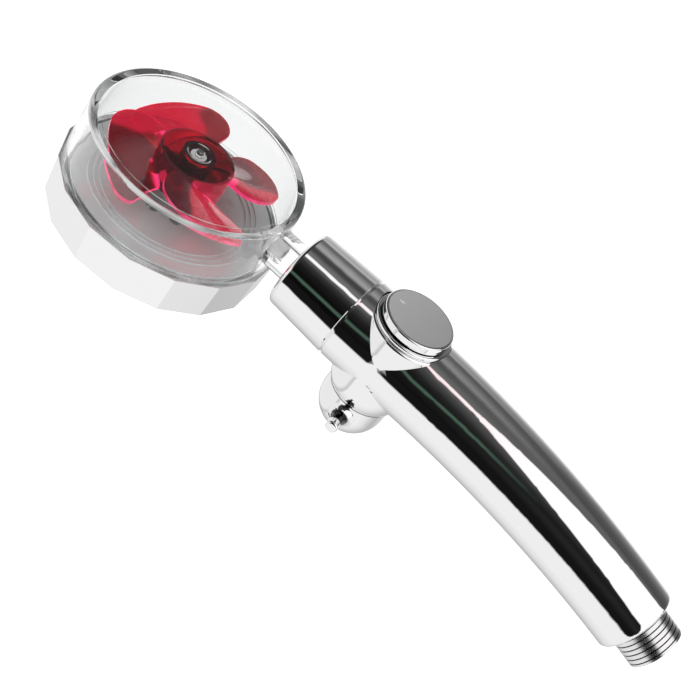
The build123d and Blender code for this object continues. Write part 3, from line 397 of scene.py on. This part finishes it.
dial_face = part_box("dial_plate")[1].z
dial_space = pattern_space(dial_satin, VALVE)
dial_x = part_of(dial_satin, dial_space, "X")
# Painted sheen, brighter towards the head.
painted_dial_sheen = rescale(dial_satin, dial_x, -DIAL_SPAN, DIAL_SPAN, *DIAL_PAINTED_SHEEN)
dial_z = part_of(dial_satin, dial_space, "Z")
sunk = calculate(dial_satin, "LESS_THAN", dial_z, dial_face - VALVE.z - PAINT_DEPTH)
shade(dial_satin, "Base Color", calculate(dial_satin, "MAXIMUM", painted_dial_sheen, sunk))
shade(dial_satin, "Metallic", rescale(dial_satin, sunk, 0.0, 1.0, DIAL_METAL, 0.0))
shade(dial_satin, "Emission Color", (1, 1, 1, 1))
shade(dial_satin, "Emission Strength", DIAL_GLOW)
print("dial face at z =", round(dial_face, 4))

# %% [markdown]
# ## Clear plastic
# The drum, its back and the neck are one clear moulding, polished in the mould, with the
# refractive index of acrylic. In a thick rim light bounces many times before it comes
# out, and each bounce scatters a little of it. A renderer's perfect plastic loses that
# light and turns black there, so the walls get a faint cloudy glow of their own, which
# grows with the number of bounces and shows only on the way out of the plastic.

# %% Clear drum
HAZE_DEPTHS = (3.0, 8.0)
HAZE_MOST = 0.6
CLOUD_SCALE = 55.0
CLOUD_SPAN = (0.38, 0.62)
CLOUD_SHARES = (0.15, 1.0)

clear_plastic = new_material(
    "clear_plastic", Base_Color=(0.945, 0.955, 0.955, 1), IOR=1.49, Transmission_Weight=1.0
)
uneven(clear_plastic, 18.0, (0.0, 0.012), 0.000004)
bounces = add_node(clear_plastic, "LightPath").outputs["Ray Depth"]
haze = rescale(clear_plastic, bounces, *HAZE_DEPTHS, 0.0, HAZE_MOST)
way_out = add_node(clear_plastic, "NewGeometry").outputs["Backfacing"]
wall_haze = calculate(clear_plastic, "MULTIPLY", way_out, haze)
cloudy = noise(clear_plastic, pattern_space(clear_plastic, HEAD), CLOUD_SCALE, 1.0)
cloudy = rescale(clear_plastic, cloudy, *CLOUD_SPAN, *CLOUD_SHARES)
shade(clear_plastic, "Emission Strength", calculate(clear_plastic, "MULTIPLY", wall_haze, cloudy))
shade(clear_plastic, "Emission Color", (1, 1, 1, 1))
print("clear plastic glows by up to", HAZE_MOST, "after", int(HAZE_DEPTHS[1]), "bounces")

# %% [markdown]
# ## Red plastic
# The fan is a see-through crimson: light that crosses a blade is red, and where it
# crosses two, nearly black. The colour comes from depth, as in the real plastic, so the
# material has an absorbing volume as well as a surface.

# %% Red fan
FAN_TINT = (0.74, 0.0, 0.12, 1)
FAN_DENSITY = 3600.0

fan_red = new_material(
    "fan_red",
    Base_Color=(0.9, 0.16, 0.3, 1),
    IOR=1.49,
    Transmission_Weight=0.97,
    Specular_IOR_Level=0.2,
)
uneven(fan_red, 30.0, (0.03, 0.07), 0.000006)
fan_depth = add_node(fan_red, "VolumeAbsorption", Color=FAN_TINT, Density=FAN_DENSITY)
fan_output = fan_red.node_tree.nodes["Material Output"]
feed(fan_red, fan_depth.outputs["Volume"], fan_output.inputs["Volume"])
fan_space = pattern_space(fan_red, HEAD)
fan_radius = reach(fan_red, fan_space)
print("green light fades to about a third in", round(1000 / FAN_DENSITY, 2), "mm of the fan")

# %% [markdown]
# ## Light at the fan's edges
# Clear coloured plastic carries light along itself and lets it out at its cut edges, so
# the blades' rims and roots are painted with a hot pink glow. The rims are the faces that
# stand upright, away from the hub. The roots are small patches just outside the hub's ring.

# %% Glow of rims and roots
PATCH_SCALE = 160.0
RIM_TILT = (0.5, 0.2)
RIM_FROM = (0.0150, 0.0158)
RIM_PATCHES = (0.35, 0.6)
# Painted glow of the rims, and below it of the roots, each between two strengths.
RIM_GLOW = (0.45, 0.9)
ROOT_IN = (0.0138, 0.0142)
ROOT_OUT = (0.0178, 0.0160)
ROOT_PATCHES = (0.55, 0.6)
ROOT_GLOW = (0.0, 0.9)


def fan_share(value, span, ends=(0.0, 1.0)):
    """A value's share of the way through a span, as a number between two ends."""
    return rescale(fan_red, value, *span, *ends)


patches = noise(fan_red, fan_space, PATCH_SCALE, 1.0)
facing = add_node(fan_red, "TexCoord").outputs["Normal"]
tilt = calculate(fan_red, "ABSOLUTE", part_of(fan_red, facing, "Z"))
away = fan_share(fan_radius, RIM_FROM)
rim = calculate(fan_red, "MULTIPLY", fan_share(tilt, RIM_TILT), away)
rim_glow = calculate(fan_red, "MULTIPLY", rim, fan_share(patches, RIM_PATCHES, RIM_GLOW))
inside = fan_share(fan_radius, ROOT_OUT)
root = calculate(fan_red, "MULTIPLY", inside, fan_share(fan_radius, ROOT_IN))
root_glow = calculate(fan_red, "MULTIPLY", root, fan_share(patches, ROOT_PATCHES, ROOT_GLOW))
print("rims glow beyond r =", RIM_FROM[0], "and roots between", ROOT_IN[0], "and", ROOT_OUT[0])

# %% [markdown]
# ## Sweeps of light over the blades
# Broad sweeps of the blades glow bright red between dark ones: painted light, fixed on the
# fan. They follow two crossing directions over the whole fan: a place is bright where it
# lies further along the first than along the second, and a little noise roughens the border.

# %% Glow of the sweeps
SWEEP = radians(168)
BORDER_SCALE = 70.0
BORDER_SHIFT = (-0.005, 0.005)
SWEEP_EDGE = (-0.001, 0.003)
# Painted light: how strongly the sweeps glow, in the dark parts and in the bright ones.
SWEEP_GLOW = (0.04, 0.38)
HUB_EDGE = (0.012, 0.0145)


def reach_along(angle):
    """How far a place on the fan lies from the axis, along a direction."""
    node = add_node(fan_red, "VectorMath", operation="DOT_PRODUCT")
    node.inputs[1].default_value = (cos(angle), sin(angle), 0)
    feed(fan_red, fan_space, node.inputs[0])
    return calculate(fan_red, "ABSOLUTE", node.outputs["Value"])


ahead = calculate(fan_red, "SUBTRACT", reach_along(SWEEP), reach_along(SWEEP + pi / 2))
border = noise(fan_red, fan_space, BORDER_SCALE, 1.0)
ahead = calculate(fan_red, "ADD", ahead, fan_share(border, NOISE_SPAN, BORDER_SHIFT))
sweep_glow = fan_share(ahead, SWEEP_EDGE, SWEEP_GLOW)
sweep_glow = calculate(fan_red, "MULTIPLY", sweep_glow, fan_share(fan_radius, HUB_EDGE))
print("sweeps lie along", round(SWEEP / pi * 180), "degrees")

# %% [markdown]
# ## From glow to colour
# The strongest glow of the three counts. Weak glow is deep red and strong glow is hot
# pink, so it goes through a colour ramp. It is switched off for what only scatters light,
# such as the floor plate, which would otherwise turn pink all over.

# %% Colour of the glow
RED_AT = 0.42
DEEP_RED = (0.42, 0.005, 0.033, 1)
PINK_AT = 0.9
HOT_PINK = (0.85, 0.04, 0.19, 1)

glow = calculate(fan_red, "MAXIMUM", rim_glow, root_glow)
glow = calculate(fan_red, "MAXIMUM", glow, sweep_glow)
scattering = add_node(fan_red, "LightPath").outputs["Is Diffuse Ray"]
direct = calculate(fan_red, "SUBTRACT", 1.0, scattering)
glow = calculate(fan_red, "MULTIPLY", glow, direct)
glow_tint = add_node(fan_red, "ValToRGB")
dark, hot = glow_tint.color_ramp.elements
dark.color = (0, 0, 0, 1)
hot.position = PINK_AT
hot.color = HOT_PINK
glow_tint.color_ramp.elements.new(RED_AT).color = DEEP_RED
feed(fan_red, glow, glow_tint.inputs["Fac"])
shade(fan_red, "Emission Color", glow_tint.outputs["Color"])
shade(fan_red, "Emission Strength", 1.0)
print("fan nodes:", len(fan_red.node_tree.nodes))

# %% [markdown]
# ## Moulded plastics, rubber and plain metals
# The pieces inside are quieter. The floor under the fan is a hard, glossy grey that
# mirrors the blades; the bushes, tubes and inserts are satin; the seals are matt rubber
# with a slightly grainy surface; the screw, axle and clip are drawn steel; and the
# valve's body and spindle are bare brass.

# %% Quiet finishes
def plain(name, tint, gloss, grain, depth, metal=0.0):
    """One colour, with a grain of that scale in its gloss and its level."""
    material = new_material(name, Base_Color=(*tint, 1), Metallic=metal)
    uneven(material, grain, gloss, depth)
    return material


floor_grey = plain("floor_grey", (0.7, 0.735, 0.745), (0.16, 0.24), 25.0, 0.000006, 0.2)
white_plastic = plain("white_plastic", (0.78, 0.78, 0.77), (0.3, 0.4), 300.0, 0.00001)
tube_plastic = plain("tube_plastic", (0.72, 0.72, 0.7), (0.3, 0.42), 200.0, 0.00001)
grey_plastic = plain("grey_plastic", (0.035, 0.035, 0.038), (0.32, 0.45), 300.0, 0.00001)
seal_rubber = plain("seal_rubber", (0.3, 0.3, 0.3), (0.6, 0.8), 900.0, 0.00001)
bright_steel = plain("bright_steel", (0.6, 0.6, 0.6), (0.18, 0.3), 500.0, 0.000003, 1.0)
bare_brass = plain("bare_brass", (0.72, 0.52, 0.24), (0.2, 0.34), 200.0, 0.000004, 1.0)
print("materials in the file:", len(bpy.data.materials))

# %% [markdown]
# ## Skins
# CAD hands over loose triangles. A mirror shows every one of them, so each piece gets a
# skin: a copy of the node, welded into one surface, with smooth shading that breaks only
# at real edges. The skin stands for its node and rides on the same body.
# Weighting the normals by area keeps flat faces flat next to small rounds. On the pieces
# that bend both ways it would make the reflections wobble, so they go without.

# %% Skin of a piece
WELD = 0.000001
SHARP = 30.0
BENT = ("handle_shell", "fan", "rear_cap")


def weld(piece, sharp):
    """Joins a piece's triangles, and smooths it except at edges sharper than that."""
    bpy.ops.object.select_all(action="DESELECT")
    bpy.context.view_layer.objects.active = piece
    piece.select_set(True)
    bpy.ops.object.mode_set(mode="EDIT")
    bpy.ops.mesh.customdata_custom_splitnormals_clear()
    bpy.ops.mesh.select_all(action="SELECT")
    bpy.ops.mesh.remove_doubles(threshold=WELD)
    bpy.ops.object.mode_set(mode="OBJECT")
    bpy.ops.object.shade_smooth_by_angle(angle=radians(sharp))


def keep_flats(piece):
    """Weights a piece's normals by the area of its faces."""
    bpy.ops.object.modifier_add(type="WEIGHTED_NORMAL")
    weighted = piece.modifiers[-1]
    weighted.keep_sharp = True
    weighted.weight = 80
    bpy.ops.object.modifier_apply(modifier=weighted.name)


def skin(node, body, slot, material, sharp=SHARP):
    """A welded, smooth-shaded copy of a CAD node that stands for it."""
    copy = nodes[node].copy()
    copy.data = nodes[node].data.copy()
    copy.parent = None
    copy.name = node + "_skin"
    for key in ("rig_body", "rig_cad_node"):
        del copy[key]
    bpy.context.scene.collection.objects.link(copy)
    weld(copy, sharp)
    if node not in BENT:
        keep_flats(copy)
    copy.data.materials.clear()
    copy.data.materials.append(material)
    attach(copy, body)
    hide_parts(node)


def dress(body, finishes):
    """Skins for a body's pieces, from a table of slot, material and sharpness."""
    for node, finish in finishes.items():
        skin(node, body, *finish)
    print(body, "pieces dressed:", len(finishes))


print("weld distance:", WELD)

# %% [markdown]
# ## Dressing the handle
# The handle is the body that the hand holds: the chromed grip and collar outside, the
# brass and plastic water way inside. The grip's boss meets the tube in a shallow crease,
# so its edges count as sharp from a smaller angle.

# %% Handle
SHALLOW_CREASE = 18.0

dress("handle", {
    "handle_shell": ("chromed_grip", grip_chrome, SHALLOW_CREASE),
    "collar": ("chromed_collar", grip_chrome),
    "swivel_bush": ("white_plastic", white_plastic),
    "front_tube": ("tube_plastic", tube_plastic),
    "valve_body": ("brass", bare_brass),
    "rear_tube": ("tube_plastic", tube_plastic),
    "inlet_connector": ("chromed_connector", connector_chrome),
    "inlet_insert": ("grey_plastic", grey_plastic),
    "inlet_filter": ("grey_plastic", grey_plastic),
    "dial_bezel": ("chromed_trim", trim_chrome),
})

# %% [markdown]
# ## Dressing the head
# The head swivels on the handle. Its drum is clear, so what stands inside shows too. The
# ring's flats meet at blunt corners, which have to stay sharp.

# %% Head
BLUNT_CORNER = 15.0

dress("head", {
    "chamber_housing": ("clear_plastic", clear_plastic),
    "neck_o_rings": ("seal_rubber", seal_rubber),
    "neck_clip": ("spring_steel", bright_steel),
    "jet_nozzle": ("white_plastic", white_plastic),
    "floor_plate": ("floor_grey", floor_grey),
    "chamber_seal": ("seal_rubber", seal_rubber),
    "spray_gasket": ("seal_rubber", seal_rubber),
    "spray_plate": ("stainless", plate_steel),
    "face_ring": ("chromed_ring", ring_chrome, BLUNT_CORNER),
    "thrust_washer": ("white_plastic", white_plastic),
    "fan_axle": ("stainless", bright_steel),
})

# %% [markdown]
# ## Dressing the fan and the valve
# The fan spins in the head, and the valve turns in the handle, so their pieces ride on
# bodies of their own.

# %% Fan and valve
dress("fan", {
    "fan": ("red_clear_plastic", fan_red),
    "fan_bush": ("white_plastic", white_plastic),
})
dress("valve", {
    "valve_spindle": ("brass", bare_brass),
    "spindle_o_rings": ("seal_rubber", seal_rubber),
    "dial": ("chromed_trim", trim_chrome),
    "dial_plate": ("satin_plate", dial_satin),
    "dial_screw": ("stainless", bright_steel),
    "rear_cap": ("chromed_trim", trim_chrome),
    "thumb_peg": ("chromed_trim", peg_chrome),
})

# %% [markdown]
# ## The room's node kit
# The room is one node tree that answers a single question: how bright is it in this
# direction? The direction comes as a vector. Its X says how far along the grip it points,
# and the angle of its Z and Y says where it lies around the grip.

# %% Room helpers
world = bpy.data.worlds.new("room")
bpy.context.scene.world = world
world.use_nodes = True
world.node_tree.nodes.clear()


def room_math(operation, *values):
    """A sum in the room's node tree."""
    return calculate(world, operation, *values)


def fade(value, start, end):
    """0 where the value is at start, 1 where it is at end, even between them."""
    return rescale(world, value, start, end)


def colour(tone):
    """A colour for a socket, from a grey tone or three tones."""
    return (*tone, 1) if isinstance(tone, tuple) else (tone, tone, tone, 1)


def blend(share, first, second):
    """Mixes two colours, each an output or a tone."""
    node = add_node(world, "Mix", data_type="RGBA")
    feed(world, share, node.inputs["Factor"])
    for socket, value in ((node.inputs["A"], first), (node.inputs["B"], second)):
        feed(world, value if isinstance(value, bpy.types.NodeSocket) else colour(value), socket)
    return node.outputs["Result"]


direction = add_node(world, "TexCoord").outputs["Generated"]
along = part_of(world, direction, "X")
sideways = part_of(world, direction, "Y")
upward = part_of(world, direction, "Z")
turn = room_math("ARCTAN2", upward, sideways)
print("room kit:", len(world.node_tree.nodes), "nodes")

# %% [markdown]
# ## Rings of tones
# Chrome is only as good as what it mirrors. The product stands on white, between dark
# panels. These are drawn as rings of tones about the grip's axis: the angle about +X
# chooses the tone. One ring is what the collar sees, another is what the hose end sees,
# and the room fades from one to the other.

# %% Tones around the grip
# Each entry is an angle about +X, counted from +Y in degrees, and how bright the room is.
COLLAR_ROOM = (
    (-180, 0.95), (-117, 0.95),
    (-93, 0.83), (-69, 0.55), (-57, 0.45), (-45, 0.5), (-25, 0.95), (-10, 0.93), (-1, 0.7),
    (10, 0.49), (19, 0.4), (29, 0.53), (34, 0.19), (41, 0.12), (50, 0.24), (62, 0.38),
    (67, 0.33), (74, 0.067), (83, 0.058), (95, 0.17), (114, 0.1), (122, 0.035), (135, 0.012),
    (154, 0.004), (179, 0.004),
)
HOSE_END_ROOM = (
    (-180, 0.95),
    (-117, 0.95), (-93, 0.83), (-69, 0.6), (-57, 0.5), (-45, 0.64), (-27, 0.95), (-14, 0.88),
    (-8, 0.62), (0, 0.38), (6, 0.26), (13, 0.19), (27, 0.11), (36, 0.09), (50, 0.075),
    (62, 0.13), (73, 0.12), (83, 0.12), (100, 0.12), (123, 0.08), (136, 0.03), (150, 0.012),
    (163, 0.02), (179, 0.008),
)
ROOM_FADE = (-0.2, 0.25)


def ring_of_tones(around, tones):
    """A colour ramp once round the axis, from tones listed by angle."""
    ramp = add_node(world, "ValToRGB")
    feed(world, around, ramp.inputs["Fac"])
    stops = ramp.color_ramp.elements
    first, last = stops[0], stops[-1]
    first.position = 0.0
    last.position = 1.0
    first.color = colour(tones[0][1])
    last.color = colour(tones[-1][1])
    for angle, tone in tones[1:]:
        stops.new(angle / 360 + 0.5).color = colour(tone)
    return ramp.outputs["Color"]


around = room_math("ADD", room_math("DIVIDE", turn, 2 * pi), 0.5)
collar_side = ring_of_tones(around, COLLAR_ROOM)
hose_side = ring_of_tones(around, HOSE_END_ROOM)
panels = blend(fade(along, *ROOM_FADE), collar_side, hose_side)
print("tones:", len(COLLAR_ROOM), "round the collar,", len(HOSE_END_ROOM), "round the hose end")

# %% [markdown]
# ## The table's edge and a green streak
# Two things lie across the rings at a slant, because they turn a little further round the
# grip the nearer they are to the hose end: the edge where the white table ends and the
# dark begins, and a thin green line, such as a plant or a window frame gives.

# %% Slanting edges
TABLE_EDGE = radians(-156.5)
TABLE_SLANT = radians(-24)
TABLE_FADE = (radians(1.5), radians(-3))
DARK_TONE = 0.008
STREAK_ANGLE = radians(155.5)
STREAK_SLANT = radians(34)
STREAK_FADE = (radians(6), radians(1))
STREAK_END = (0.25, 0.1)
STREAK_GREEN = (0.07, 0.125, 0.09)

table_edge = room_math("MULTIPLY", room_math("MAXIMUM", along, 0.0), TABLE_SLANT)
past_edge = room_math("SUBTRACT", turn, room_math("ADD", table_edge, TABLE_EDGE))
panels = blend(fade(past_edge, *TABLE_FADE), panels, DARK_TONE)

streak_at = room_math("SUBTRACT", STREAK_ANGLE, room_math("MULTIPLY", along, STREAK_SLANT))
off_streak = room_math("ABSOLUTE", room_math("SUBTRACT", turn, streak_at))
in_streak = room_math("MULTIPLY", fade(off_streak, *STREAK_FADE), fade(along, *STREAK_END))
panels = blend(in_streak, panels, STREAK_GREEN)
print("table ends at", round(TABLE_EDGE / pi * 180, 1), "degrees")

# %% [markdown]
# ## The long light
# One long light hangs on the far side. It is narrow where the collar sees it and widens
# evenly towards the hose end, as a tapering lamp does. Its middle is slightly pink and
# its ends are white.

# %% Long light
LIGHT_ANGLE = radians(106)
LIGHT_START = 0.05
LIGHT_WIDENING = radians(92)
LIGHT_NARROWEST = radians(4)
LIGHT_EDGE = (radians(-2), radians(2))
LIGHT_HOSE_FADE = (0.0, 0.25)
LIGHT_COLLAR_FADE = (-0.05, -0.12)
LIGHT_PINK = (1.15, 0.93, 0.94)
LIGHT_HOSE_END = (1.15, 1.13, 1.13)
LIGHT_COLLAR = (1.1, 1.09, 1.09)

half_width = room_math("SUBTRACT", along, LIGHT_START)
half_width = room_math("MULTIPLY", half_width, LIGHT_WIDENING)
half_width = room_math("MAXIMUM", half_width, LIGHT_NARROWEST)
off_light = room_math("ABSOLUTE", room_math("SUBTRACT", turn, LIGHT_ANGLE))
in_light = fade(room_math("SUBTRACT", half_width, off_light), *LIGHT_EDGE)
light_tone = blend(fade(along, *LIGHT_HOSE_FADE), LIGHT_PINK, LIGHT_HOSE_END)
light_tone = blend(fade(along, *LIGHT_COLLAR_FADE), light_tone, LIGHT_COLLAR)
panels = blend(in_light, panels, light_tone)
print("light hangs at", round(LIGHT_ANGLE / pi * 180), "degrees")

# %% [markdown]
# ## Behind the head
# Past the collar the panels stop and the room is pale, which is what the ring's flats
# mirror. Higher up it is dark, so that the drum's clear back has no grey veil over it.

# %% Behind the head
PANELS_END = (-0.29, -0.36)
PALE_FADE = (-0.3, -0.45)
PALE_NEAR = 0.42
PALE_FAR = 0.9
DARK_HEIGHT = (0.25, 0.4)
DARK_ABOVE = 0.04

behind = blend(fade(along, *PALE_FADE), PALE_NEAR, PALE_FAR)
behind = blend(fade(upward, *DARK_HEIGHT), behind, DARK_ABOVE)
surroundings = blend(fade(along, *PANELS_END), panels, behind)
print("world nodes:", len(world.node_tree.nodes))

# %% [markdown]
# ## What the clear parts see
# A clear wall gathers light from every side, and a dark room would turn its rims black.
# Real clear plastic on a white table looks pale grey with white lines, so light that has
# passed through it finds a bright room, with a few soft grey clouds to draw the rims and
# a dark ceiling with one bright end. What lies behind the clear wall and scatters light,
# such as the floor plate, is lit evenly.

# %% Room behind clear plastic
ROOM_CLOUDS = 1.8
ROOM_CLOUD_SPAN = (0.42, 0.58)
SIDE_TONES = (0.5, 1.1)
CEILING_TONES = (0.02, 0.07)
CEILING_FROM = (0.35, 0.55)
BRIGHT_HEIGHT = (0.6, 0.75)
BRIGHT_END = (-0.1, 0.15)
BRIGHT_TONE = 1.3
EVEN_TONE = 1.15

clouds = noise(world, direction, ROOM_CLOUDS, 1.0)
cloud_share = fade(clouds, *ROOM_CLOUD_SPAN)
soft_sides = blend(cloud_share, *SIDE_TONES)
soft_ceiling = blend(cloud_share, *CEILING_TONES)
soft_room = blend(fade(upward, *CEILING_FROM), soft_sides, soft_ceiling)
overhead = room_math("MULTIPLY", fade(upward, *BRIGHT_HEIGHT), fade(along, *BRIGHT_END))
soft_room = blend(overhead, soft_room, BRIGHT_TONE)
looking = add_node(world, "LightPath")
scattered = room_math("MINIMUM", looking.outputs["Diffuse Depth"], 1.0)
soft_room = blend(scattered, soft_room, EVEN_TONE)
print("clear parts see sides of tones", SIDE_TONES, "and a ceiling of", CEILING_TONES)

# %% [markdown]
# ## Putting the room together
# Mirrors see the panels, clear parts see the soft room, and the camera itself sees plain
# white behind the object. The standard view transform shows those tones as they are.

# %% World
seen = blend(looking.outputs["Is Transmission Ray"], surroundings, soft_room)
seen = blend(looking.outputs["Is Camera Ray"], seen, 1.0)
background = add_node(world, "Background")
feed(world, seen, background.inputs["Color"])
output = add_node(world, "OutputWorld")
feed(world, background.outputs["Background"], output.inputs["Surface"])
bpy.context.scene.view_settings.view_transform = "Standard"
print("room nodes:", len(world.node_tree.nodes))

# %% [markdown]
# ## Floor
# A large pale sheet, lit until it is as white as paper. It glows a little, so that the
# object's soft shadow doesn't grey it, and chrome looks past it at the room. The head
# swivels right round, so the sheet lies below the lowest that its ring can swing.

# %% Floor
FLOOR_SIZE = 8.0
FLOOR_GAP = 0.002

NECK = middle("neck_clip")
swing = hypot(ring_low.y, NECK.z - ring_low.z)
floor_level = min(cad_box[0][2], NECK.z - swing) - FLOOR_GAP
bpy.ops.object.select_all(action="DESELECT")
bpy.ops.mesh.primitive_plane_add(size=FLOOR_SIZE, location=(0, 0, floor_level))
floor = bpy.context.object
floor.name = "floor"
floor_white = new_material(
    "floor_white", Base_Color=(0.8, 0.8, 0.8, 1), Emission_Color=(1, 1, 1, 1), Emission_Strength=0.9
)
uneven(floor_white, 4.0, (0.6, 0.8), 0)
floor.data.materials.append(floor_white)
floor.visible_glossy = False
print("floor at z =", round(floor_level, 4))
